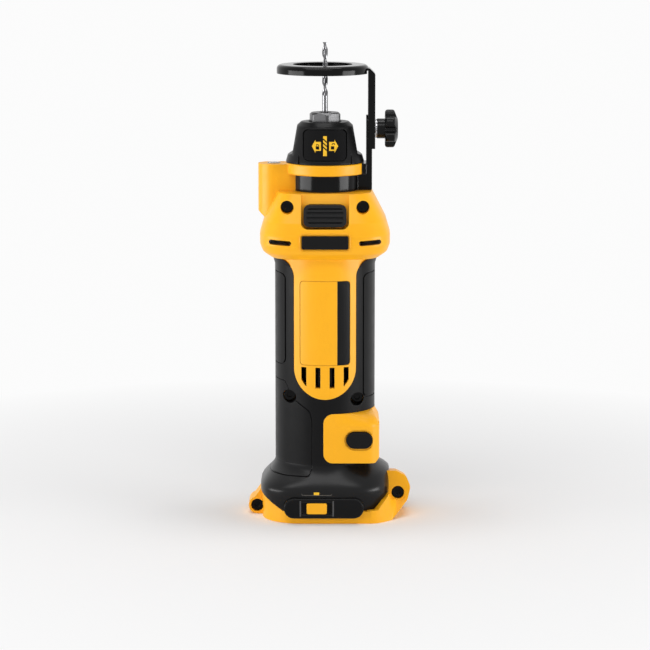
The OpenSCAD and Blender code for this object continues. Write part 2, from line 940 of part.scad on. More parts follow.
// Outlines of the grooves between the rubber pads
module pad_lines() {
  difference() {
    union() {
      round_rect(-reach, pad_groove - pad_left_x, pad_left_low - pad_groove, pad_top + pad_groove,
        pad_round, pad_round + pad_groove);
      round_rect(pad_right_x - pad_groove, reach, pad_right_low - pad_groove, pad_top + pad_groove,
        pad_round + pad_groove, pad_round);
      polygon(rounded(grown(low_pad_points, pad_mid, pad_groove), low_pad_rounds));
    }
    round_rect(-reach - over, -pad_left_x, pad_left_low, pad_top, pad_round, pad_round);
    round_rect(pad_right_x, reach + over, pad_right_low, pad_top, pad_round, pad_round);
    polygon(rounded(low_pad_points, low_pad_rounds));
  }
}

module pad_grooves() {
  difference() {
    along_y(-reach, reach) pad_lines();
    disc(grip_r - pad_depth, boot_top - over, head_z);
    boot(pad_depth);
  }
}

module grip_turning() {
  rotate_extrude() polygon([
    [core_r + seam, boot_top], [grip_r, boot_top], [grip_r, head_z - lip_h],
    [under_r - grip_lip, head_z - seam], [core_r + seam, head_z - seam]
  ]);
}

// Everything below the rubber's lower edge, which dips in front round the bezel
module below_edge() {
  along_y(-reach, reach) polygon([
    [-reach, -reach], [-reach, edge_end_z], [-foot_half_x, edge_end_z],
    [-dip_half - bezel_h / 2, dip_z + bezel_h / 3], [-dip_half, dip_z], [-dip_half + bezel_h / 2, boot_low],
    [dip_half - bezel_h / 2, boot_low], [dip_half, dip_z], [dip_right, dip_z],
    [foot_half_x, edge_end_z], [reach, edge_end_z], [reach, -reach]
  ]);
}

module pod_window(grow) {
  z0 = pod_low - grow;
  z1 = pod_top + grow;
  along_y(-reach, over) round_rect(pod_left - grow, reach, z0, z1, pod_round, pod_round);
  along_x(0, reach) round_rect(-pod_back, pod_back + grow, z0, z1, pod_round, pod_round);
}

// Rubber that lines the wells of the two handle screws
module well_lining() {
  for (p = grip_places) intersection() {
    along_y(-grip_r, -p.z - seam) translate([p.x, p.y]) circle(p[3] - seam);
    disc(core_r + 2 * seam, p.y - p[3], p.y + p[3]);
  }
}

module rubber() {
  difference() {
    union() {
      grip_turning();
      boot(0);
      well_lining();
    }
    pad_grooves();
    disc(core_r + seam, -over, boot_top);
    base_solid(seam);
    below_edge();
    along_y(-reach, reach) panel_outline(seam);
    intersection() {
      pod_window(seam);
      disc(reach, pod_low - over, pod_top + over);
    }
    along_y(-reach, 0) for (p = screw_places) translate([p.x, p.y]) circle(p[3] - rubber_lip);
    box(-channel_half - mouth_rim, channel_half + mouth_rim, 0, reach, -over, channel_h + mouth_rim);
    translate([bezel_x, 0, 0]) along_y(-reach, 0) translate([0, bezel_z])
      oblong(bezel_w + 2 * seam, bezel_h + 2 * seam);
  }
}

module front_grip() {
  color(black) front_half() rubber();
}

module rear_grip() {
  color(black) rear_half() rubber();
}

// Side pod and button

// Flat block of the side pod with its slanted top and trimmed right-hand corners
module pod_block() {
  rise = pod_top - crease_z;
  lean = pod_front - pod_top_y;
  difference() {
    translate([0, 0, pod_low]) linear_extrude(pod_h)
      round_rect(-pod_corner, pod_reach, -pod_front, pod_back, pod_corner, pod_corner);
    along_x(-reach, reach) polygon([
      [-pod_front - lean, crease_z - rise], [pod_back, pod_top + rise * (pod_back + pod_top_y) / lean],
      [-pod_front - lean, pod_top + rise * (pod_back + pod_top_y) / lean]
    ]);
    along_y(-reach, reach) {
      polygon([
        [pod_reach + pod_cut_x, pod_top - 2 * pod_cut_z], [pod_reach + pod_cut_x, pod_top + pod_cut_z],
        [pod_reach - 2 * pod_cut_x, pod_top + pod_cut_z]
      ]);
      polygon([
        [pod_reach - 2 * pod_low_cut, pod_low - pod_low_cut],
        [pod_reach + pod_low_cut, pod_low - pod_low_cut],
        [pod_reach + pod_low_cut, pod_low + 2 * pod_low_cut]
      ]);
    }
    for (k = [0 : comb_n - 1]) let (z = pod_low + comb_lift + k * comb_pitch)
      box(pod_reach - comb_d, reach, -comb_half, comb_half, z, z + comb_h);
  }
}

module side_pod() {
  color(yellow) difference() {
    intersection() {
      union() {
        disc(pod_r, pod_low - over, pod_top + over);
        pod_block();
      }
      pod_window(0);
    }
    disc(core_r + seam, pod_low - 2 * over, pod_top + 2 * over);
    translate([button_x, 0, button_z]) {
      along_y(-reach, 0) oblong(button_w + 2 * run_gap, button_h + 2 * run_gap);
      along_y(-reach, button_dish - pod_front) oblong(button_w + 2 * button_rim, button_h + 2 * button_rim);
    }
  }
}

module side_button() {
  color(black) translate([button_x, 0, button_z]) intersection() {
    along_y(-button_y, -button_back) oblong(button_w, button_h);
    translate([0, button_curve - button_y, -button_h])
      cylinder(r = button_curve, h = 2 * button_h, $fn = 720);
  }
}

// Plates on the housing

module head_badge() {
  color(black) badge_segment(badge_t, badge_proud, 0);
}

module panel_plate() {
  color(yellow)
    plate_segment(grip_r - plate_t, grip_r, -plate_half, plate_half - strip_w - seam, 0, plate_round, seam);
}

module panel_strip() {
  color(black)
    plate_segment(grip_r - plate_t, grip_r, plate_half - strip_w, plate_half, 0, seam, plate_round);
}

// Foot bezel with its small slide

module foot_bezel() {
  color(black) translate([bezel_x, 0, bezel_z]) difference() {
    along_y(-bezel_y, -bezel_back - seam) oblong(bezel_w, bezel_h);
    along_y(-bezel_y - over, slider_d - bezel_y + run_gap) translate([window_x - bezel_x, 0])
      square([slider_w + 2 * slide_travel + 2 * run_gap, window_h], center = true);
  }
}

module foot_slider() {
  color(yellow) translate([window_x, 0, bezel_z]) along_y(-bezel_y - slider_proud, slider_d - bezel_y)
    panel_rect(slider_w, window_h - 2 * run_gap, badge_round);
}

module housing_screws() {
  color(black) for (p = screw_places) translate([p.x, -p.z, p.y]) difference() {
    union() {
      along_y(-screw_head_h, 0) circle(screw_head_r);
      along_y(0, p.z + screw_tip) circle(screw_r);
    }
    along_y(-screw_head_h - over, screw_drive_d - screw_head_h) circle(screw_drive_r, $fn = 6);
  }
}

// Work light

module lamp_lens() {
  top = collar_top - lamp_drop;
  color([0.9, 0.95, 1]) translate([lamp_half - lamp_reach, 0, 0]) {
    disc(lens_r, top - lens_h, top);
    disc(board_r, top - lens_proud, top + lens_proud);
  }
}

module lamp_board() {
  top = collar_top - lamp_drop - lens_h;
  color([0.1, 0.35, 0.2]) translate([lamp_half - lamp_reach, 0, 0]) disc(board_r, top - board_h, top);
}

// Depth guide

module guide_bracket() {
  z0 = ledge_z + band_gap;
  z1 = collar_z - band_gap;
  half = strap_w / 2;
  color(black) difference() {
    union() {
      tube(band_r, neck_r + seam, z0, z1);
      box(neck_r + seam, strap_x + seam, -half, half, z0, z1);
      box(collar_cut + seam, strap_x + seam, -block_half, block_half, collar_z, collar_top - seam);
      along_x(strap_x, strap_x + strap_t) {
        translate([-half, z0]) square([strap_w, strap_top - half - z0]);
        translate([0, strap_top - half]) circle(half);
      }
    }
    disc(neck_r + seam, z0 - over, z1 + over);
    box(-reach, 0, -lamp_half - band_arc_gap, lamp_half + band_arc_gap, z0 - over, z1 + over);
    translate([0, 0, knob_z]) rotate([0, 90, 0]) disc(stud_r + fit_gap, 0, reach);
  }
}

module guide_ring() {
  inner = ring_r - sheet_t;
  color(black) difference() {
    translate([-ring_shift, 0, 0]) rotate_extrude() polygon(rounded(
      [[ring_bore, ring_plate_z], [inner, ring_plate_z], [inner, ring_low], [ring_r, ring_low],
       [ring_r, ring_top], [ring_bore, ring_top]],
      [0, 0, 0, 0, ring_round, 0]
    ));
    box(lip_x, reach, -post_half - run_gap, post_half + run_gap, ring_low - over, ring_plate_z);
  }
}

module guide_post() {
  color(black) difference() {
    union() {
      along_y(-post_half, post_half) polygon(rounded(
        [[post_x, post_low], [post_out, post_low], [post_out, bend_z], [bend_x, ring_plate_z],
         [lip_x, ring_plate_z], [lip_x, ring_plate_z - post_t],
         [bend_x - bend_inset, ring_plate_z - post_t], [post_x, bend_z - bend_inset]],
        [0, 0, post_round, post_round, 0, 0, post_round - post_t, post_round - post_t]
      ));
      for (side = [-1, 1]) translate([0, side * (post_half - sheet_t / 2), 0])
        along_y(-sheet_t / 2, sheet_t / 2) polygon(rounded(
          [[flange_x, post_low], [post_out, post_low], [post_out, bend_z], [bend_x, ring_plate_z],
           [flange_x, ring_plate_z]],
          [0, 0, post_round, post_round, 0]
        ));
    }
    along_x(post_x - over, post_out + over) {
      translate([-slot_half, knob_z - guide_up]) square([2 * slot_half, guide_up + guide_down]);
      for (z = [knob_z - guide_up, knob_z + guide_down]) translate([0, z]) circle(slot_half);
    }
  }
}

module knob_frame(x) translate([x, 0, knob_z]) rotate([0, 90, 0]) children();

module clamp_knob() {
  lobe_r = knob_r * lobe_share;
  color(black) difference() {
    union() {
      knob_frame(stem_x) cylinder(r = stem_r, h = stem_l + knob_l / 2);
      knob_frame(star_x) intersection() {
        linear_extrude(knob_l) {
          circle(knob_r - lobe_r);
          for (k = [0 : knob_lobes - 1]) rotate([0, 0, 360 * k / knob_lobes])
            translate([knob_r - lobe_r, 0]) circle(lobe_r);
        }
        rotate_extrude() polygon(rounded(
          [[0, 0], [knob_r, 0], [knob_r, knob_l * knob_shoulder_share], [knob_r / 2, knob_l], [0, knob_l]],
          [0, lobe_r / 2, lobe_r / 2, lobe_r, 0]
        ));
      }
    }
    knob_frame(stem_x - over) cylinder(r = stud_r + seam, h = over + stud_grip + seam);
  }
}

module knob_washer() {
  color(steel) knob_frame(washer_x) linear_extrude(washer_t - seam) difference() {
    circle(washer_r);
    circle(stud_r + seam);
    for (k = [0 : washer_teeth - 1]) rotate([0, 0, 360 * k / washer_teeth])
      translate([washer_r, 0]) circle(tooth_d);
  }
}

module clamp_stud() {
  color(steel) knob_frame(strap_x) cylinder(r = stud_r, h = stem_x + stud_grip - strap_x);
}

// Turning sleeve of the tool-free collet

module nose_sleeve() {
  bore = spigot_r - spigot_wall;
  hole = nut_round + 2 * run_gap;
  color(black) difference() {
    rotate_extrude() polygon(rounded(
      [[bore, collar_top - spigot_l], [spigot_r, collar_top - spigot_l], [spigot_r, sleeve_z],
       [sleeve_r, sleeve_z], [sleeve_r, sleeve_z + edge_round], [shoulder_r, shoulder_z],
       [sleeve_top_r, nose_top], [hole, nose_top], [hole, nose_top - sleeve_lip],
       [bore, nose_top - sleeve_lip]],
      [0, edge_round, 0, 0, 0, sleeve_round, edge_round, 0, 0, 0]
    ));
    for (side = [0, 1]) mirror([side, 0, 0]) along_y(-reach, reach) polygon([
      [flat_low, sleeve_z + ear_h + ear_slope], [sleeve_r + over, sleeve_z + ear_h],
      [sleeve_r + over, nose_top + over], [flat_top, nose_top + over]
    ]);
    mark_segment(mark_t + seam, over, mark_margin);
    for (side = [-1, 1]) translate([side * slit_x, 0, 0])
      box(-slit_w / 2, slit_w / 2, -reach, -slit_y, sleeve_z - over, sleeve_z + slit_h);
  }
}

// Piece of the cone's skin, from d0 below its surface to d1 above it
module mark_segment(d0, d1, grow) {
  z0 = mark_low - over;
  z1 = mark_low + mark_h + over;
  intersection() {
    rotate_extrude() polygon([
      [cone_r(z0) - d0, z0], [cone_r(z0) + d1, z0], [cone_r(z1) + d1, z1], [cone_r(z1) - d0, z1]
    ]);
    along_y(-reach, 0) translate([0, mark_low + mark_h / 2])
      panel_rect(2 * (mark_half + grow), mark_h + 2 * grow, mark_round + grow);
  }
}

module sleeve_mark() {
  color(black) mark_segment(mark_t, 0, 0);
}

// Dust-sealed thumb switch

// Outline of the thumb piece, set in by inset
module switch_outline(inset) {
  half = switch_w / 2 - inset;
  round_rect(-half, half, switch_z + inset, switch_z + switch_h - inset,
    switch_round - inset / 2, switch_round - inset / 2);
}

// Everything behind the sloping thumb face, starting d below it
module behind_face(d) {
  slope = (switch_face_low - switch_face_top) / switch_h;
  z0 = switch_z - over;
  z1 = switch_z + switch_h + over;
  along_x(-switch_w, switch_w) polygon([
    [0, z0], [d - switch_face_low - slope * over, z0], [d - switch_face_top + slope * over, z1], [0, z1]
  ]);
}

module switch_slider() {
  color(black) {
    difference() {
      intersection() {
        along_y(-reach, -recess_y - run_gap) switch_outline(0);
        behind_face(0);
      }
      difference() {
        along_y(-reach, 0) switch_outline(switch_rim);
        behind_face(rib_d);
        for (k = [0 : rib_n - 1]) let (z = switch_z + switch_h / 2 + (k - (rib_n - 1) / 2) * rib_pitch)
          box(-switch_w, switch_w, -reach, 0, z - rib_face / 2, z + rib_face / 2);
      }
    }
    box(-stem_half, stem_half, -recess_y - over, -rod_y, stem_z, stem_z + stem_h);
  }
}

module switch_rod() {
  color([0.3, 0.3, 0.32]) {
    box(-stem_half, stem_half, -rod_y, rod_t - rod_y, rod_low, stem_z + stem_h);
    box(-stem_half, stem_half, rod_t - rod_y - seam, -module_y - run_gap, rod_low, rod_low + rod_finger_h);
  }
}

module switch_seal() {
  slot_w = 2 * (stem_half + run_gap);
  z0 = stem_z - run_gap;
  z1 = stem_z + stem_h + switch_travel + run_gap;
  color([0.15, 0.15, 0.16]) along_y(-recess_y, seal_t - recess_y) difference() {
    translate([-seal_half, seal_z0()]) square([2 * seal_half, seal_z1() - seal_z0()]);
    translate([-slot_w / 2, z0]) square([slot_w, z1 - z0]);
  }
}

module switch_module() {
  color([0.2, 0.2, 0.22])
    box(-module_w / 2, module_w / 2, -module_y, module_d - module_y, base_h, base_h + module_h);
}

// Battery terminals

module terminal_block() {
  color([0.13, 0.13, 0.14]) difference() {
    box(-block_w / 2, block_w / 2, -channel_front, block_d - channel_front, channel_h - block_h, channel_h);
    for (k = [0 : blade_n - 1]) blade(k, seam);
  }
}

module blade(k, grow) {
  x = (k - (blade_n - 1) / 2) * blade_pitch;
  y = block_d - channel_front;
  z = channel_h - block_h / 2;
  box(x - blade_t / 2 - grow, x + blade_t / 2 + grow, y - blade_l / 2 - grow, y + blade_l / 2,
    z - blade_h / 2 - grow, z + blade_h / 2 + grow);
}

module terminal_blades() {
  color(copper) for (k = [0 : blade_n - 1]) blade(k, 0);
}

// Motor

module motor_can() {
  color(steel) difference() {
    disc(motor_r, motor_z, motor_top);
    disc(motor_r - can_wall, motor_z - over, motor_top - can_wall);
    disc(bearing_r, motor_top - 2 * can_wall, motor_top + over);
  }
}

module motor_magnets() {
  r_out = motor_r - can_wall - seam;
  r_in = r_out - magnet_t;
  flank = reach * tan(magnet_arc / 2 - 90);
  z0 = stack_z - magnet_over;
  color([0.25, 0.25, 0.27]) difference() {
    tube(r_out, r_in, z0, stack_top + magnet_over);
    for (turn = [0, 180]) rotate([0, 0, turn + 90]) translate([0, 0, z0 - over]) linear_extrude(motor_l)
      polygon([[0, 0], [reach, flank], [reach, -flank]]);
  }
}

// Insulating end cap that holds the brushes and the rear bearing
module brush_cap() {
  color([0.16, 0.16, 0.17]) difference() {
    disc(motor_r - can_wall, cap_z, motor_z - seam);
    disc(rear_bearing_r + seam, cap_z + cap_floor, motor_z + over);
  }
}

module brush_block(half_w, half_h, x0, x1) {
  z = commutator_z + commutator_h / 2;
  for (side = [0, 1]) mirror([side, 0, 0]) box(x0, x1, -half_w, half_w, z - half_h, z + half_h);
}

module brush_holders() {
  x0 = commutator_r + air_gap + brush_l / 4;
  x1 = motor_r - can_wall - seam;
  color(copper) intersection() {
    difference() {
      brush_block(brush_w / 2 + holder_wall, brush_h / 2 + holder_wall, x0, x1 + over);
      brush_block(brush_w / 2 + seam, brush_h / 2 + seam, x0 - over, x1 - holder_wall);
    }
    disc(x1, cap_z, motor_top);
  }
}

module carbon_brushes() {
  color([0.12, 0.12, 0.12]) difference() {
    brush_block(brush_w / 2, brush_h / 2, 0, commutator_r + brush_l);
    disc(commutator_r + fit_gap, cap_z, motor_top);
  }
}

// Ball bearings: fixed outer races, balls between, and inner races on the spindle

function race_mid(r) = (r + spindle_r) / 2;

function ball_r(r) = (r - spindle_r) * ball_share;

module race(r_out, r_in, r, z, h) {
  difference() {
    tube(r_out, r_in, z, z + h);
    translate([0, 0, z + h / 2]) rotate_extrude() translate([race_mid(r), 0]) circle(ball_r(r) + fit_gap);
  }
}

module outer_race(r, z, h) race(r, race_mid(r) + ball_r(r) / 2, r, z, h);

module inner_race(r, z, h) race(race_mid(r) - ball_r(r) / 2, spindle_r + seam, r, z, h);

module balls(r, z, h) {
  n = floor(PI * race_mid(r) / ball_r(r) * ball_fill_share);
  for (k = [0 : n - 1]) rotate([0, 0, 360 * k / n]) translate([race_mid(r), 0, z + h / 2]) sphere(ball_r(r));
}

module front_bearing_race() {
  color(steel) outer_race(bearing_r, bearing_z, bearing_h);
}

module rear_bearing_race() {
  color(steel) outer_race(rear_bearing_r, rear_bearing_z, rear_bearing_h);
}

module bearing_balls() {
  color(steel) {
    balls(bearing_r, bearing_z, bearing_h);
    balls(rear_bearing_r, rear_bearing_z, rear_bearing_h);
  }
}

module inner_races() {
  color(steel) {
    inner_race(bearing_r, bearing_z, bearing_h);
    inner_race(rear_bearing_r, rear_bearing_z, rear_bearing_h);
  }
}

// Turning group on the spindle

module spindle() {
  color(steel) difference() {
    union() {
      disc(spindle_r, shaft_low, flange_z + over);
      disc(flange_r, flange_z, flange_z + flange_h);
      disc(holder_r, flange_z + flange_h - over, holder_top);
    }
    disc(collet_r + seam, holder_top - collet_l - seam, holder_top + over);
  }
}

module armature_stack() {
  color([0.45, 0.46, 0.48]) translate([0, 0, stack_z]) linear_extrude(stack_top - stack_z) difference() {
    circle(stack_r);
    circle(spindle_r + seam);
    for (k = [0 : stack_slots - 1]) rotate([0, 0, 360 * k / stack_slots])
      translate([stack_r * (1 - slot_depth_share), -slot_w / 2]) square([stack_r, slot_w]);
  }
}

// End turns of the winding, above and below the stack
module armature_winding() {
  color(copper) for (z = [stack_z - winding_h - seam, stack_top + seam])
    tube(stack_r - winding_inset, spindle_r + seam, z, z + winding_h);
}

module commutator() {
  color(copper) tube(commutator_r, spindle_r + seam, commutator_z, commutator_z + commutator_h);
}

module cooling_fan() {
  color([0.2, 0.2, 0.22]) {
    tube(fan_hub_r, spindle_r + seam, fan_z, fan_z + fan_h);
    tube(fan_r, fan_hub_r - seam, fan_z + fan_h - fan_plate, fan_z + fan_h);
    for (k = [0 : fan_blades - 1]) rotate([0, 0, 360 * k / fan_blades])
      box(fan_hub_r - seam, fan_r - fan_blade_t, -fan_blade_t / 2, fan_blade_t / 2,
        fan_z, fan_z + fan_h - seam);
  }
}

module collet() {
  z0 = holder_top - collet_l;
  color([0.5, 0.5, 0.52]) difference() {
    union() {
      disc(collet_r, z0, holder_top);
      translate([0, 0, holder_top])
        cylinder(r1 = collet_r, r2 = collet_tip_r, h = nut_top - holder_top - nut_chamfer);
    }
    disc(bit_r + seam, z0 - over, nut_top + over);
    for (turn = [0, 60, 120]) rotate([0, 0, turn])
      box(-collet_slit / 2, collet_slit / 2, -collet_r - over, collet_r + over, z0 + collet_l / 2, nut_top);
  }
}

// Hexagon nut with turned corners, a chamfered top and a round skirt inside the sleeve
module collet_nut() {
  z0 = nose_top - thread_l;
  hex_z = nose_top - sleeve_lip / 2;
  color(steel) difference() {
    union() {
      disc(nut_skirt_r, z0, hex_z);
      intersection() {
        translate([0, 0, hex_z]) rotate([0, 0, nut_turn])
          cylinder(r = nut_af / sqrt(3), h = nut_top - hex_z, $fn = 6);
        rotate_extrude() polygon([
          [0, hex_z], [nut_round, hex_z], [nut_round, nut_top - nut_chamfer],
          [nut_af / 2 - nut_chamfer / 2, nut_top], [0, nut_top]
        ]);
      }
    }
    disc(holder_r + seam, z0 - over, holder_top + seam);
    translate([0, 0, holder_top]) cylinder(
      r1 = collet_r + 2 * seam, r2 = collet_tip_r + 2 * seam, h = nut_top - holder_top - nut_chamfer);
    disc(collet_tip_r + 2 * seam, nut_top - 2 * nut_chamfer, nut_top + over);
  }
}

// Two-flute spiral bit on a plain shank
module cutting_bit() {
  flute_z = bit_tip - flute_l;
  flute_twist = -360 * flute_l / flute_lead;
  core = bit_r * flute_core_share;
  color(steel) {
    disc(bit_r, holder_top - collet_l, flute_z);
    translate([0, 0, flute_z])
      linear_extrude(flute_l, twist = flute_twist, slices = flute_slices, $fn = flute_sides) intersection() {
        circle(bit_r, $fn = 24);
        union() {
          circle(core, $fn = 12);
          for (turn = [0, 180]) rotate([0, 0, turn])
            translate([0, -core]) square([bit_r, bit_r * flute_land_share]);
        }
      }
  }
}

front_shell();
rear_shell();
front_grip();
rear_grip();
side_pod();
head_badge();
panel_plate();
panel_strip();
foot_bezel();
foot_slider();
housing_screws();
lamp_lens();
lamp_board();
guide_bracket();
guide_ring();
guide_post();
clamp_knob();
knob_washer();
clamp_stud();
nose_sleeve();
sleeve_mark();
switch_slider();
switch_rod();
switch_seal();
switch_module();
side_button();
terminal_block();
terminal_blades();
motor_can();
motor_magnets();
brush_cap();
brush_holders();
carbon_brushes();
front_bearing_race();
rear_bearing_race();
bearing_balls();
inner_races();
spindle();
armature_stack();
armature_winding();
commutator();
cooling_fan();
collet();
collet_nut();
cutting_bit();
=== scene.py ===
"""Looks of the cordless drywall cut-out tool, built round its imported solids."""
import json
import math

import bmesh
import bpy
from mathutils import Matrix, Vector
from mathutils.bvhtree import BVHTree


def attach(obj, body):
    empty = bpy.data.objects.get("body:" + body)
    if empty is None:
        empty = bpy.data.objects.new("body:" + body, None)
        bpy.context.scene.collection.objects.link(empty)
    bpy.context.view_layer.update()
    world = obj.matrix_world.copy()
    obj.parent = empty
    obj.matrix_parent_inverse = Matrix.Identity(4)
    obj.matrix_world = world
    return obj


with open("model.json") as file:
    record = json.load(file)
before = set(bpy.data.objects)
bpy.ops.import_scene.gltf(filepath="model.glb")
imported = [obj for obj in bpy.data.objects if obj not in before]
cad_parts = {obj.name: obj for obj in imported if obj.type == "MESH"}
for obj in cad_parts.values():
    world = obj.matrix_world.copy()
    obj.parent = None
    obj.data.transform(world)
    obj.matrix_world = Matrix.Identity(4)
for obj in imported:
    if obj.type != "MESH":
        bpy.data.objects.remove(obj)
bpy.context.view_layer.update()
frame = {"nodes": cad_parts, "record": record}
nodes = frame["nodes"]
scene = bpy.context.scene
MM = 0.001  # metres in a millimetre


# Node helpers

def add(tree, kind, inputs=None, **settings):
    """A new node with its settings, and its inputs linked or set."""
    node = tree.nodes.new(kind)
    for key, value in settings.items():
        setattr(node, key, value)
    for key, value in (inputs or {}).items():
        if isinstance(value, bpy.types.NodeSocket):
            tree.links.new(value, node.inputs[key])
        else:
            node.inputs[key].default_value = value
    return node


def new_material(name):
    """An empty material and its node tree."""
    material = bpy.data.materials.new(name)
    material.use_nodes = True
    material.node_tree.nodes.clear()
    return material, material.node_tree


def noise(tree, coords, scale, detail, stretch=None):
    """Noise output, with features about 1 / scale metres across."""
    if stretch:
        coords = add(tree, "ShaderNodeMapping", {"Vector": coords, "Scale": stretch}).outputs["Vector"]
    inputs = {"Vector": coords, "Scale": scale, "Detail": detail}
    return add(tree, "ShaderNodeTexNoise", inputs).outputs["Fac"]


def spread(tree, value, low, high, start=0.3, end=0.7):
    """A value from start to end mapped to low to high."""
    return add(tree, "ShaderNodeMapRange", {
        "Value": value, "From Min": start, "From Max": end, "To Min": low, "To Max": high,
    }).outputs["Result"]


def mix_colour(tree, factor, first, second):
    """The first colour at factor 0, the second at 1. Inputs 6 and 7 and output 2 are the colour sockets."""
    return add(tree, "ShaderNodeMix", {0: factor, 6: first, 7: second}, data_type="RGBA").outputs[2]


def mix_value(tree, factor, first, second):
    """The first value at factor 0, the second at 1. Inputs 2 and 3 and output 0 are the value sockets."""
    return add(tree, "ShaderNodeMix", {0: factor, 2: first, 3: second}).outputs[0]


def shade(colour, factor):
    """A colour made lighter or darker, with its alpha."""
    return [min(1.0, c * factor) for c in colour] + [1.0]


# Finishes

SPECULAR = "Specular IOR Level"
CLOUD_SCALE, CLOUD_DETAIL = 55.0, 4.0
SPECK_DETAIL, SPECK_SHARE, SPECK_LIFT, SPECK_RANGE = 3.0, 0.35, 2.5, (0.45, 0.75)
GLOSS_SCALE, GLOSS_DETAIL, SMUDGE = 140.0, 5.0, 0.12
# Worn edges: lighter edge colour that is partly wear and partly a painted highlight
BEVEL_SAMPLES, WEAR_HIGHLIGHT_REACH, WEAR_HIGHLIGHT_RANGE = 6, 1.6, (0.75, 0.98)
# Painted shade: hollows darkened by ambient occlusion
PAINTED_SHADE_SAMPLES, PAINTED_SHADE_DARKNESS, PAINTED_SHADE_RANGE = 8, 0.02, (0.15, 0.5)
BUMP_STRENGTH = 0.6
POLISH_FADE = 4.0  # mm above and below the polish height


def surface(name, colour, rough, mottle, grain, depth, round_mm=0.4, specular=0.5, wear_and_highlight=None, wear_and_highlight_share=0.0,
            painted_shade_mm=None, polish=None, stretch=None, **shader):
    """Procedural finish: cloudy colour, fine grain, uneven gloss, edges lightened as wear and as painted
    highlight, and painted shade darkening hollows.

    polish is a height in mm and the roughness and specular level below it.
    """
    material, tree = new_material(name)
    coords = add(tree, "ShaderNodeTexCoord").outputs["Object"]
    cloud = spread(tree, noise(tree, coords, CLOUD_SCALE, CLOUD_DETAIL), 0.0, 1.0)
    speck = noise(tree, coords, grain, SPECK_DETAIL, stretch)
    base = mix_colour(tree, cloud, shade(colour, 1 - mottle), shade(colour, 1 + mottle))
    base = mix_colour(tree, spread(tree, speck, 0.0, SPECK_SHARE, *SPECK_RANGE), base,
                      shade(colour, 1 + SPECK_LIFT * mottle))
    edge = add(tree, "ShaderNodeBevel", {"Radius": round_mm * MM}, samples=BEVEL_SAMPLES).outputs["Normal"]
    # Edges lightened in the worn colour: partly wear, partly a painted highlight where edges catch light
    if wear_and_highlight:
        wide = add(tree, "ShaderNodeBevel", {"Radius": WEAR_HIGHLIGHT_REACH * round_mm * MM},
                   samples=BEVEL_SAMPLES).outputs["Normal"]
        flat = add(tree, "ShaderNodeNewGeometry").outputs["Normal"]
        match = add(tree, "ShaderNodeVectorMath", {0: wide, 1: flat},
                    operation="DOT_PRODUCT").outputs["Value"]
        share = spread(tree, match, wear_and_highlight_share, 0.0, *WEAR_HIGHLIGHT_RANGE)
        base = mix_colour(tree, share, base, list(wear_and_highlight) + [1.0])
    # Painted shade: colour darkened in hollows and corners, where less light reaches
    if painted_shade_mm:
        painted_shade_ao = add(tree, "ShaderNodeAmbientOcclusion", {"Distance": painted_shade_mm * MM},
                      samples=PAINTED_SHADE_SAMPLES, only_local=True).outputs["AO"]
        share = spread(tree, painted_shade_ao, 0.0, 1.0, *PAINTED_SHADE_RANGE)
        base = mix_colour(tree, share, shade(colour, PAINTED_SHADE_DARKNESS), base)
    bump = add(tree, "ShaderNodeBump", {
        "Height": speck, "Normal": edge, "Strength": BUMP_STRENGTH, "Distance": depth * MM,
    }).outputs["Normal"]
    gloss = spread(tree, noise(tree, coords, GLOSS_SCALE, GLOSS_DETAIL, stretch),
                   rough * (1 - SMUDGE), rough * (1 + SMUDGE))
    values = {"Base Color": base, "Roughness": gloss, "Normal": bump, SPECULAR: specular, **shader}
    if polish:
        polish_z, smooth_rough, smooth_specular = polish
        height = add(tree, "ShaderNodeSeparateXYZ", {"Vector": coords}).outputs["Z"]
        upper = spread(tree, height, 0.0, 1.0, (polish_z - POLISH_FADE) * MM, (polish_z + POLISH_FADE) * MM)
        values["Roughness"] = mix_value(tree, upper, smooth_rough, gloss)
        values[SPECULAR] = spread(tree, upper, smooth_specular, specular, 0.0, 1.0)
    bsdf = add(tree, "ShaderNodeBsdfPrincipled", values)
    add(tree, "ShaderNodeOutputMaterial", {"Surface": bsdf.outputs["BSDF"]})
    return material


# The worn colours lighten edges as wear and as painted highlight; yellow_plastic also paints shade into its
# hollows.
yellow_plastic = surface(
    "yellow_plastic", (0.93, 0.43, 0.010), 0.38, mottle=0.025, grain=1700.0, depth=0.012, round_mm=0.5,
    specular=0.27, wear_and_highlight=(0.98, 0.55, 0.05), wear_and_highlight_share=0.45, painted_shade_mm=6.0)
black_rubber = surface(
    "black_rubber", (0.0045, 0.0045, 0.0048), 0.36, mottle=0.10, grain=1300.0, depth=0.035, round_mm=0.5,
    specular=0.105, wear_and_highlight=(0.026, 0.026, 0.027), wear_and_highlight_share=0.4, polish=(31.0, 0.29, 0.2))
black_plastic = surface(
    "black_plastic", (0.006, 0.006, 0.0063), 0.34, mottle=0.08, grain=1800.0, depth=0.014, round_mm=0.4,
    specular=0.11, wear_and_highlight=(0.040, 0.040, 0.041), wear_and_highlight_share=0.35)
bezel_black = surface(
    "bezel_black", (0.005, 0.005, 0.0053), 0.32, mottle=0.08, grain=1800.0, depth=0.014, round_mm=1.2,
    specular=0.10, wear_and_highlight=(0.055, 0.055, 0.056), wear_and_highlight_share=0.4)
dull_black = surface(
    "dull_black", (0.005, 0.005, 0.0053), 0.5, mottle=0.08, grain=1600.0, depth=0.012, round_mm=0.4,
    specular=0.06, wear_and_highlight=(0.022, 0.022, 0.023), wear_and_highlight_share=0.35)
black_steel = surface(
    "black_steel", (0.002, 0.002, 0.0021), 0.13, mottle=0.08, grain=500.0, depth=0.010, round_mm=0.35,
    specular=0.12)
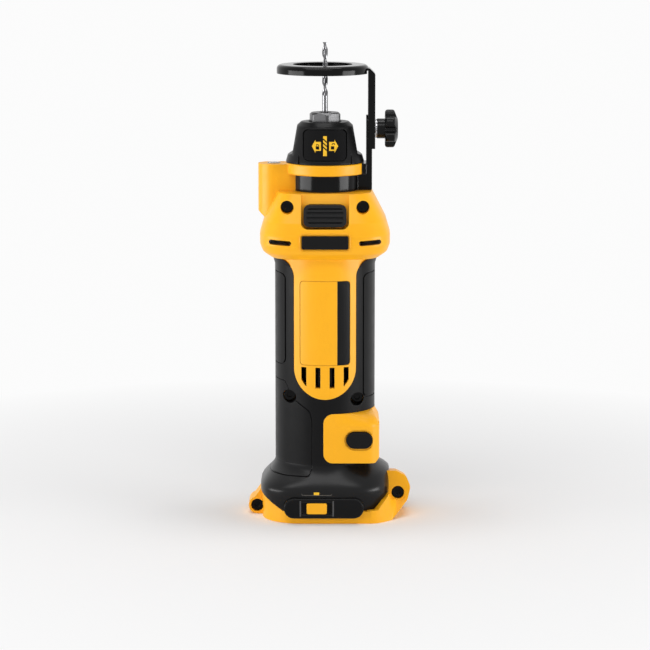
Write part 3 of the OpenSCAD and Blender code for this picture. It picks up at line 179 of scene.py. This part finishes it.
# The strap's lighter edges are a painted highlight of its light lines, and worn bare metal.
strap_steel = surface(
    "strap_steel", (0.002, 0.002, 0.0021), 0.15, mottle=0.08, grain=500.0, depth=0.010, round_mm=0.6,
    specular=0.12, wear_and_highlight=(0.16, 0.16, 0.165), wear_and_highlight_share=0.5)
knob_black = surface(
    "knob_black", (0.003, 0.003, 0.0032), 0.19, mottle=0.08, grain=1800.0, depth=0.010, round_mm=0.9,
    specular=0.15, wear_and_highlight=(0.030, 0.030, 0.031), wear_and_highlight_share=0.35)
bright_steel = surface(
    "bright_steel", (0.34, 0.34, 0.35), 0.22, mottle=0.05, grain=260.0, depth=0.006, round_mm=0.2,
    stretch=(1.0, 1.0, 8.0), Metallic=1.0)
nut_steel = surface(
    "nut_steel", (0.085, 0.085, 0.087), 0.38, mottle=0.06, grain=900.0, depth=0.012, round_mm=0.3,
    stretch=(1.0, 1.0, 5.0), Metallic=1.0)
bit_steel = surface(
    "bit_steel", (0.15, 0.15, 0.155), 0.24, mottle=0.06, grain=400.0, depth=0.008, round_mm=0.15,
    stretch=(1.0, 1.0, 6.0), Metallic=1.0)
copper_alloy = surface(
    "copper_alloy", (0.62, 0.30, 0.13), 0.34, mottle=0.06, grain=900.0, depth=0.01, round_mm=0.2,
    Metallic=1.0)
dark_core = surface(
    "dark_core", (0.06, 0.06, 0.065), 0.55, mottle=0.10, grain=1200.0, depth=0.03, round_mm=0.2)
circuit_board = surface(
    "circuit_board", (0.02, 0.10, 0.04), 0.45, mottle=0.08, grain=900.0, depth=0.01)
clear_lens = surface(
    "clear_lens", (0.92, 0.94, 0.96), 0.10, mottle=0.01, grain=300.0, depth=0.006, round_mm=0.2,
    IOR=1.49, **{"Transmission Weight": 0.75})
print_yellow = surface(
    "print_yellow", (0.90, 0.52, 0.03), 0.45, mottle=0.03, grain=2200.0, depth=0.004, round_mm=0.05,
    specular=0.2)
print_grey = surface(
    "print_grey", (0.11, 0.10, 0.085), 0.5, mottle=0.05, grain=2200.0, depth=0.004, round_mm=0.05)
# Lighter grey for the bezel's low edges: a painted highlight
edge_highlight_grey = surface(
    "edge_highlight_grey", (0.055, 0.055, 0.057), 0.4, mottle=0.08, grain=1800.0, depth=0.01, round_mm=0.2)

SLOT_FINISHES = {
    "yellow_plastic": yellow_plastic, "black_rubber": black_rubber, "black_plastic": black_plastic,
    "black_steel": black_steel, "bright_steel": bright_steel, "copper_alloy": copper_alloy,
    "dark_core": dark_core, "clear_lens": clear_lens, "circuit_board": circuit_board,
}
NODE_FINISHES = {
    "collet_nut": nut_steel, "cutting_bit": bit_steel, "sleeve_mark": dull_black,
    "foot_bezel": bezel_black, "guide_bracket": strap_steel, "clamp_knob": knob_black,
}


# CAD nodes: finishes and smooth shading

SMOOTH_ANGLE = 32  # degrees; sharper edges stay sharp
WELD_MM = 0.002


def smoother():
    """Geometry nodes that shade smooth except across edges sharper than a limit."""
    group = bpy.data.node_groups.new("smooth_by_angle", "GeometryNodeTree")
    group.interface.new_socket("Geometry", in_out="INPUT", socket_type="NodeSocketGeometry")
    group.interface.new_socket("Geometry", in_out="OUTPUT", socket_type="NodeSocketGeometry")
    start = add(group, "NodeGroupInput").outputs[0]
    angle = add(group, "GeometryNodeInputMeshEdgeAngle").outputs["Unsigned Angle"]
    limit = add(group, "FunctionNodeCompare", {0: angle, 1: math.radians(SMOOTH_ANGLE)},
                data_type="FLOAT", operation="LESS_EQUAL").outputs["Result"]
    faces = add(group, "GeometryNodeSetShadeSmooth", {"Geometry": start, "Shade Smooth": True},
                domain="FACE").outputs["Geometry"]
    edges = add(group, "GeometryNodeSetShadeSmooth", {"Geometry": faces, "Shade Smooth": limit},
                domain="EDGE").outputs["Geometry"]
    add(group, "NodeGroupOutput", {0: edges})
    return group


SMOOTHER = smoother()


def smooth(obj):
    """Weld a mesh and shade its rounds smooth."""
    weld = obj.modifiers.new("weld", "WELD")
    weld.merge_threshold = WELD_MM * MM
    obj.modifiers.new("smooth", "NODES").node_group = SMOOTHER
    level = obj.modifiers.new("level", "WEIGHTED_NORMAL")
    level.keep_sharp = True


def paint(obj, material):
    """Give all of an object one material."""
    if obj.material_slots:
        for place in obj.material_slots:
            place.material = material
    else:
        obj.data.materials.append(material)


for row in frame["record"]["subparts"]:
    node = nodes[row["node"]]
    paint(node, NODE_FINISHES.get(row["node"], SLOT_FINISHES[row["material_slot"]]))
    smooth(node)


# Thin prints and trim, laid on curved faces

PRINT_LIFT, PRINT_STEP = 0.04, 0.6  # mm that a print stands out, and its longest edge
PRINT_MERGE, PRINT_SPLITS = 1e-5, 5
RAY_START, RAY_WAY = -0.2, Vector((0, 1, 0))  # y in m, before the front


def printed(name, outlines, node, body, material, lift=PRINT_LIFT):
    """Closed outlines in (x, z) mm, laid from the front on a node's surface as a thin print."""
    flat = bpy.data.curves.new(name, "CURVE")
    flat.dimensions = "2D"
    flat.fill_mode = "BOTH"
    for outline in outlines:
        spline = flat.splines.new("POLY")
        spline.points.add(len(outline) - 1)
        for point, (x, z) in zip(spline.points, outline):
            point.co = (x, z, 0.0, 1.0)
        spline.use_cyclic_u = True
    sketch = bpy.data.objects.new(name + "_sketch", flat)
    scene.collection.objects.link(sketch)
    drawn = sketch.evaluated_get(bpy.context.evaluated_depsgraph_get())
    mesh = bpy.data.meshes.new_from_object(drawn)
    bpy.data.objects.remove(sketch)
    shape = bmesh.new()
    shape.from_mesh(mesh)
    bmesh.ops.remove_doubles(shape, verts=shape.verts, dist=PRINT_MERGE)
    for _ in range(PRINT_SPLITS):
        long_edges = [e for e in shape.edges if e.calc_length() > PRINT_STEP]
        if not long_edges:
            break
        bmesh.ops.subdivide_edges(shape, edges=long_edges, cuts=1)
        bmesh.ops.triangulate(shape, faces=shape.faces)
    target = bmesh.new()
    target.from_mesh(nodes[node].data)
    tree = BVHTree.FromBMesh(target)
    for vert in shape.verts:
        start = Vector((vert.co.x * MM, RAY_START, vert.co.y * MM))
        hit = tree.ray_cast(start, RAY_WAY)[0]
        vert.co = hit - Vector((0, lift * MM, 0))
    target.free()
    back = bmesh.ops.extrude_face_region(shape, geom=shape.faces[:])
    bmesh.ops.translate(shape, vec=(0, 2 * lift * MM, 0),
                        verts=[g for g in back["geom"] if isinstance(g, bmesh.types.BMVert)])
    bmesh.ops.recalc_face_normals(shape, faces=shape.faces[:])
    shape.to_mesh(mesh)
    shape.free()
    mesh.name = name
    obj = bpy.data.objects.new(name, mesh)
    scene.collection.objects.link(obj)
    paint(obj, material)
    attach(obj, body)


def arc(cx, cz, r, a0, a1, n=12):
    """Points of an arc from a0 to a1 degrees."""
    angles = [math.radians(a0 + (a1 - a0) * k / n) for k in range(n + 1)]
    return [(cx + r * math.cos(a), cz + r * math.sin(a)) for a in angles]


def box_outline(x0, x1, z0, z1):
    """Corners of an upright rectangle."""
    return [(x0, z0), (x1, z0), (x1, z1), (x0, z1)]


BADGE_ROUND, CORNER_STEPS = 0.5, 6


def round_outline(node, margin):
    """Rounded rectangle in (x, z) mm, set out by a margin from a node's front view."""
    corners = [nodes[node].matrix_world @ Vector(c) for c in nodes[node].bound_box]
    xs = [c.x / MM for c in corners]
    zs = [c.z / MM for c in corners]
    r = BADGE_ROUND + margin
    left, right = min(xs) - margin + r, max(xs) + margin - r
    low, top = min(zs) - margin + r, max(zs) + margin - r
    centres = ((right, top), (left, top), (left, low), (right, low))
    return [p for k, (cx, cz) in enumerate(centres)
            for p in arc(cx, cz, r, 90 * k, 90 * k + 90, CORNER_STEPS)]


# Signs of the lock sleeve, in mm from the middle of each sign
SIGN_Z, ARROW_X = 214.7, 4.6
ARROW = ((-2.3, -2.45), (0.75, -2.45), (0.75, -3.6), (2.85, 0.0), (0.75, 3.6), (0.75, 2.45), (-2.3, 2.45))
LOCK_SHIFT, LOCK_HALF, LOCK_LOW, LOCK_TOP = 0.35, 0.95, -1.75, 0.05
BOW_R, BOW_BORE = 0.9, 0.45
BOW_SHUT, BOW_OPEN = (0.0, 0.3), (0.5, 0.85)  # x and z of the padlock's bow
SPIRAL_HALF, SPIRAL_LOW, SPIRAL_TOP = 1.05, SIGN_Z - 5.3, SIGN_Z + 5.6
SPIRAL_CUTS = (SIGN_Z - 1.3, SIGN_Z + 0.9, SIGN_Z + 3.1)
SPIRAL_SLANT, SPIRAL_GAP = 1.8, 0.42


def arrow_sign(side, cx):
    """House-shaped arrow with the hole of a padlock, open on the right-hand arrow."""
    outline = [(cx + side * x, SIGN_Z + z) for x, z in ARROW]
    body_x = cx - side * LOCK_SHIFT
    lock = box_outline(body_x - LOCK_HALF, body_x + LOCK_HALF, SIGN_Z + LOCK_LOW, SIGN_Z + LOCK_TOP)
    shift, lift = BOW_SHUT if side < 0 else BOW_OPEN
    bow_x, bow_z = body_x + shift, SIGN_Z + lift
    bow = arc(bow_x, bow_z, BOW_R, 0, 180) + arc(bow_x, bow_z, BOW_BORE, 180, 0)
    return [outline, lock, bow]


def spiral_sign():
    """Upright bar cut by slanted gaps, as a spiral bit."""
    rise = SPIRAL_SLANT / 2
    lows = [(cut + rise + SPIRAL_GAP, cut - rise + SPIRAL_GAP) for cut in SPIRAL_CUTS]
    tops = [(cut + rise - SPIRAL_GAP, cut - rise - SPIRAL_GAP) for cut in SPIRAL_CUTS]
    lows.insert(0, (SPIRAL_LOW, SPIRAL_LOW))
    tops.append((SPIRAL_TOP, SPIRAL_TOP))
    return [[(-SPIRAL_HALF, left_low), (SPIRAL_HALF, right_low),
             (SPIRAL_HALF, right_top), (-SPIRAL_HALF, left_top)]
            for (left_low, right_low), (left_top, right_top) in zip(lows, tops)]


printed("sign_lock", arrow_sign(-1, -ARROW_X), "sleeve_mark", "lock_sleeve", print_yellow)
printed("sign_unlock", arrow_sign(1, ARROW_X), "sleeve_mark", "lock_sleeve", print_yellow)
printed("sign_bit", spiral_sign(), "sleeve_mark", "lock_sleeve", print_yellow)

# Scale of the foot slide: a line with pointed ends and a mark in the middle
SCALE_Z, SCALE_HALF = 17.0, 0.15
SCALE_LEFT, SCALE_RIGHT = -12.2, 2.7
TIP_TOP, TIP_LOW = SCALE_Z + 1.0, SCALE_Z - 0.3
printed("foot_scale", [
    box_outline(SCALE_LEFT, SCALE_RIGHT, SCALE_Z - SCALE_HALF, SCALE_Z + SCALE_HALF),
    [(-13.6, TIP_TOP), (-12.9, TIP_LOW), (SCALE_LEFT, TIP_LOW)],
    [(4.1, TIP_TOP), (SCALE_RIGHT, TIP_LOW), (3.4, TIP_LOW)],
], "front_grip", "housing", print_grey)
MARK_LEFT, MARK_RIGHT, MARK_LOW, MARK_TOP = -6.4, -3.3, SCALE_Z + 0.2, SCALE_Z + 1.7
printed("foot_scale_mark", [box_outline(MARK_LEFT, MARK_RIGHT, MARK_LOW, MARK_TOP)],
        "front_grip", "housing", print_yellow)

# Thin lip round the badge
LIP_OUT, LIP_IN, LIP_LIFT = 1.5, 1.05, 0.3
printed("badge_lip", [round_outline("head_badge", LIP_OUT), round_outline("head_badge", LIP_IN)],
        "front_shell", "housing", yellow_plastic, lift=LIP_LIFT)

# Low edges on the bezel, either side of the slide's window, in a lighter grey painted as their highlight
EDGE_HALF, EDGE_FOOT, EDGE_TOP, EDGE_LIFT = 0.4, 5.0, 14.0, 0.12
for side, x in (("left", -14.05), ("right", 4.65)):
    printed("bezel_edge_" + side, [box_outline(x - EDGE_HALF, x + EDGE_HALF, EDGE_FOOT, EDGE_TOP)],
            "foot_bezel", "housing", edge_highlight_grey, lift=EDGE_LIFT)


# Moulded blends that the solids lack: the pod's domed top, and the web from the base to its right lobe

def skin(outer, inner):
    """Closed mesh between two grids of points in mm, with as many rows and columns."""
    shape = bmesh.new()
    front, back = (
        [[shape.verts.new(Vector(p) * MM) for p in row] for row in grid] for grid in (outer, inner))
    last_row, last_column = len(outer) - 1, len(outer[0]) - 1
    for grid in (front, back):
        for low, top in zip(grid, grid[1:]):
            for k in range(last_column):
                shape.faces.new((low[k], low[k + 1], top[k + 1], top[k]))
    for row in (0, last_row):
        for k in range(last_column):
            shape.faces.new((front[row][k], front[row][k + 1], back[row][k + 1], back[row][k]))
    for k in (0, last_column):
        for row in range(last_row):
            shape.faces.new((front[row][k], front[row + 1][k], back[row + 1][k], back[row][k]))
    bmesh.ops.recalc_face_normals(shape, faces=shape.faces[:])
    return shape


def moulded(name, shape):
    """A yellow piece of the housing from a finished mesh."""
    mesh = bpy.data.meshes.new(name)
    shape.to_mesh(mesh)
    shape.free()
    obj = bpy.data.objects.new(name, mesh)
    scene.collection.objects.link(obj)
    paint(obj, yellow_plastic)
    smooth(obj)
    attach(obj, "housing")


# All in mm, as in the source
PROUD, TUCK = 0.05, 0.4  # how far the blends stand out of the solids, and their borders go into them
POD_R, POD_FRONT, POD_REACH, POD_CORNER = 28.8, 28.4, 31.1, 7.0
POD_CREASE, POD_TOP, POD_LAP = 54.8, 62.78, 1.5  # heights, and the lap below the crease
POD_CUT, POD_CUT_NORMAL = Vector((31.1, 0.0, 56.8)), Vector((6.0, 0.0, 4.2)).normalized()


def pod_plan(run):
    """Point of the pod's plan at a run in mm along its front, its rounded corner and its side."""
    corner_x, corner_y = POD_REACH - POD_CORNER, POD_CORNER - POD_FRONT
    bend = POD_CORNER * math.pi / 2
    if run <= corner_x:
        return Vector((run, -POD_FRONT))
    if run <= corner_x + bend:
        turn = (run - corner_x) / POD_CORNER
        return Vector((corner_x + POD_CORNER * math.sin(turn), corner_y - POD_CORNER * math.cos(turn)))
    return Vector((POD_REACH, corner_y + run - corner_x - bend))


def pod_dome(start=4.5, end=62.5, columns=40, rows=14, bulge=1.8, core_r=27.0):
    """Dome from the pod's plan at the crease to the round handle at its top, cut off at its right corner."""
    outer, inner = [], []
    for j in range(-1, rows + 1):
        rise = math.sin(math.pi / 2 * max(j, 0) / rows)
        share = (1 - rise ** bulge) ** (1 / bulge)
        z = POD_CREASE + (POD_TOP - POD_CREASE) * rise if j >= 0 else POD_CREASE - POD_LAP
        line = []
        for k in range(columns + 1):
            low = pod_plan(start + (end - start) * k / columns)
            top = low.normalized() * POD_R
            flat = top + (low - top) * share
            stand = PROUD if j >= 0 and 0 < k < columns else -TUCK
            line.append(flat + flat.normalized() * stand)
        outer.append([(p.x, p.y, z) for p in line])
        inner.append([(*(p.normalized() * core_r), z) for p in line])
    shape = skin(outer, inner)
    cut = bmesh.ops.bisect_plane(
        shape, geom=shape.verts[:] + shape.edges[:] + shape.faces[:], clear_outer=True,
        plane_co=(POD_CUT + POD_CUT_NORMAL * PROUD) * MM, plane_no=POD_CUT_NORMAL)
    rim = [g for g in cut["geom_cut"] if isinstance(g, bmesh.types.BMEdge)]
    bmesh.ops.holes_fill(shape, edges=rim)
    bmesh.ops.recalc_face_normals(shape, faces=shape.faces[:])
    moulded("pod_dome", shape)


BASE_ROUND, BASE_CORNER = 12.0, Vector((25.0, -21.0))
LOBE_X, LOBE_FRONT, LOBE_CORE = 40.6, -17.05, -12.0
LOBE_LEAN = math.tan(math.radians(9.5))
RIM_LOW, RIM_HIGH = (38.5, 0.0), (47.6, 9.9)  # x and z of the lobe's lower right edge
BOOT_LOW, BOOT_HIGH = (30.0, 7.5), (36.9, 15.3)  # x and z of the boot's edge at the right
WELL_X, WELL_Z, WELL_RIM = 42.0, 14.1, 4.5


def web_top(x):
    """Height of the web: up along the boot's edge, then down round the lobe's screw well."""
    if x > BOOT_HIGH[0]:
        return WELL_Z - math.sqrt(max(0.0, WELL_RIM ** 2 - (WELL_X - x) ** 2))
    rise = (x - BOOT_LOW[0]) / (BOOT_HIGH[0] - BOOT_LOW[0])
    return BOOT_LOW[1] + max(0.0, rise) * (BOOT_HIGH[1] - BOOT_LOW[1])


def web_foot(x):
    """Height of the web's lower edge: on the floor, then up along the lobe's edge."""
    return max(0.0, (x - RIM_LOW[0]) / (RIM_HIGH[0] - RIM_LOW[0])) * RIM_HIGH[1]


def foot_web(turn=50.0, bends=12, spans=20, rows=6, end_x=46.2, wall=Vector((-2.0, 3.0, 0.0))):
    """Face from the base's round corner to the lobe's leaning face, below the boot and the screw well."""
    feet, tops, shares = [], [], []
    for k in range(bends + 1):
        angle = math.radians(turn * k / bends)
        out = BASE_ROUND + (PROUD if k else -TUCK)
        p = BASE_CORNER + Vector((math.sin(angle), -math.cos(angle))) * out
        feet.append(Vector((p.x, p.y, 0.0)))
        tops.append(Vector((p.x, p.y, web_top(p.x))))
        shares.append(0.0)
    corner = feet[-1]
    rim_y = LOBE_FRONT + LOBE_LEAN * RIM_HIGH[1]
    for k in range(1, spans + 1):
        x = corner.x + (end_x - corner.x) * k / spans
        share = min(1.0, (x - corner.x) / (LOBE_X - corner.x))
        foot_y = corner.y + (rim_y - corner.y) * (x - corner.x) / (RIM_HIGH[0] - corner.x)
        lobe_y = LOBE_FRONT + LOBE_LEAN * web_top(x)
        feet.append(Vector((x, foot_y, web_foot(x))))
        tops.append(Vector((x, corner.y + (lobe_y - corner.y) * share, web_top(x))))
        shares.append(share)
    outer = [[foot.lerp(top, j / rows) for foot, top in zip(feet, tops)] for j in range(rows + 1)]
    inner = [[(p + wall).lerp(Vector((p.x, LOBE_CORE, p.z)), share) for p, share in zip(row, shares)]
             for row in outer]
    moulded("foot_web", skin(outer, inner))


pod_dome()
foot_web()


# Floor, light and camera

WHITE = (0.97, 0.97, 0.97, 1)
FLOOR_TONE, FLOOR_HALF = (0.93, 0.93, 0.935, 1), 40.0
FLOOR_FADE = (0.10, 0.42)  # m from the middle, from the lit floor to plain white
SOFT_LIGHT = 0.16
MIDDLE = Vector((0.0, 0.0, 0.14))
LAMPS = (  # name, place, width and height in m, power in W
    ("side_left", (-0.945, -0.326, 0.14), 0.85, 0.27, 6.6),
    ("side_right", (0.934, -0.358, 0.14), 0.64, 0.27, 6.0),
    ("front_top", (-0.15, -0.75, 1.1), 1.2, 0.26, 5.3),
    ("top", (0.0, 0.10, 1.25), 0.9, 0.29, 6.5),
)


def seen_rays(tree):
    """1 for the rays that show the background: from the camera, or mirrored or let through to it."""
    rays = add(tree, "ShaderNodeLightPath")
    seen = add(tree, "ShaderNodeMath", {0: rays.outputs["Is Camera Ray"], 1: rays.outputs["Is Glossy Ray"]},
               operation="MAXIMUM").outputs[0]
    return add(tree, "ShaderNodeMath", {0: seen, 1: rays.outputs["Is Transmission Ray"]},
               operation="MAXIMUM").outputs[0]


def floor():
    """White floor that takes the tool's shadow and fades into the background."""
    mesh = bpy.data.meshes.new("floor")
    corners = [(x, y, 0) for x, y in box_outline(-FLOOR_HALF, FLOOR_HALF, -FLOOR_HALF, FLOOR_HALF)]
    mesh.from_pydata(corners, [], [(0, 1, 2, 3)])
    obj = bpy.data.objects.new("floor", mesh)
    scene.collection.objects.link(obj)
    material, tree = new_material("floor")
    place = add(tree, "ShaderNodeNewGeometry").outputs["Position"]
    reach = add(tree, "ShaderNodeVectorMath", {0: place}, operation="LENGTH").outputs["Value"]
    far = spread(tree, reach, 0.0, 1.0, *FLOOR_FADE)
    share = add(tree, "ShaderNodeMath", {0: seen_rays(tree), 1: far}, operation="MULTIPLY").outputs[0]
    lit = add(tree, "ShaderNodeBsdfDiffuse", {"Color": FLOOR_TONE}).outputs[0]
    white = add(tree, "ShaderNodeEmission", {"Color": WHITE, "Strength": 1.0}).outputs[0]
    mixed = add(tree, "ShaderNodeMixShader", {0: share, 1: lit, 2: white}).outputs[0]
    add(tree, "ShaderNodeOutputMaterial", {"Surface": mixed})
    mesh.materials.append(material)


def lamp(name, place, width, height, power):
    """Rectangular lamp turned to the middle of the tool."""
    data = bpy.data.lights.new(name, "AREA")
    data.shape = "RECTANGLE"
    data.size = width
    data.size_y = height
    data.energy = power
    obj = bpy.data.objects.new(name, data)
    scene.collection.objects.link(obj)
    obj.location = place
    obj.rotation_euler = (MIDDLE - Vector(place)).to_track_quat("-Z", "Y").to_euler()


def studio():
    """World that lights softly and shows white."""
    world = bpy.data.worlds.new("studio")
    scene.world = world
    world.use_nodes = True
    tree = world.node_tree
    tree.nodes.clear()
    soft = add(tree, "ShaderNodeBackground", {"Color": (1, 1, 1, 1), "Strength": SOFT_LIGHT}).outputs[0]
    white = add(tree, "ShaderNodeBackground", {"Color": WHITE, "Strength": 1.0}).outputs[0]
    both = add(tree, "ShaderNodeMixShader", {0: seen_rays(tree), 1: soft, 2: white}).outputs[0]
    add(tree, "ShaderNodeOutputWorld", {"Surface": both})


floor()
for row in LAMPS:
    lamp(*row)
studio()

# Camera as fitted to the photo, with its focal length and shift in the photo's pixels
PHOTO_PX, FOCAL_PX, SHIFT_PX = 650, 2637.2, 1.0
SENSOR_MM, CLIP_END = 36.0, 100.0
CAMERA_PLACE, CAMERA_PITCH = (0.0, -1.5, 0.36), 9.5  # m, and degrees down
camera_data = bpy.data.cameras.new("camera")
camera_data.sensor_width = SENSOR_MM
camera_data.lens = SENSOR_MM * FOCAL_PX / PHOTO_PX
camera_data.shift_y = SHIFT_PX / PHOTO_PX
camera_data.clip_end = CLIP_END
camera = bpy.data.objects.new("camera", camera_data)
scene.collection.objects.link(camera)
camera.location = CAMERA_PLACE
camera.rotation_euler = (math.radians(90 - CAMERA_PITCH), 0.0, 0.0)
scene.camera = camera
scene.view_settings.view_transform = "Standard"
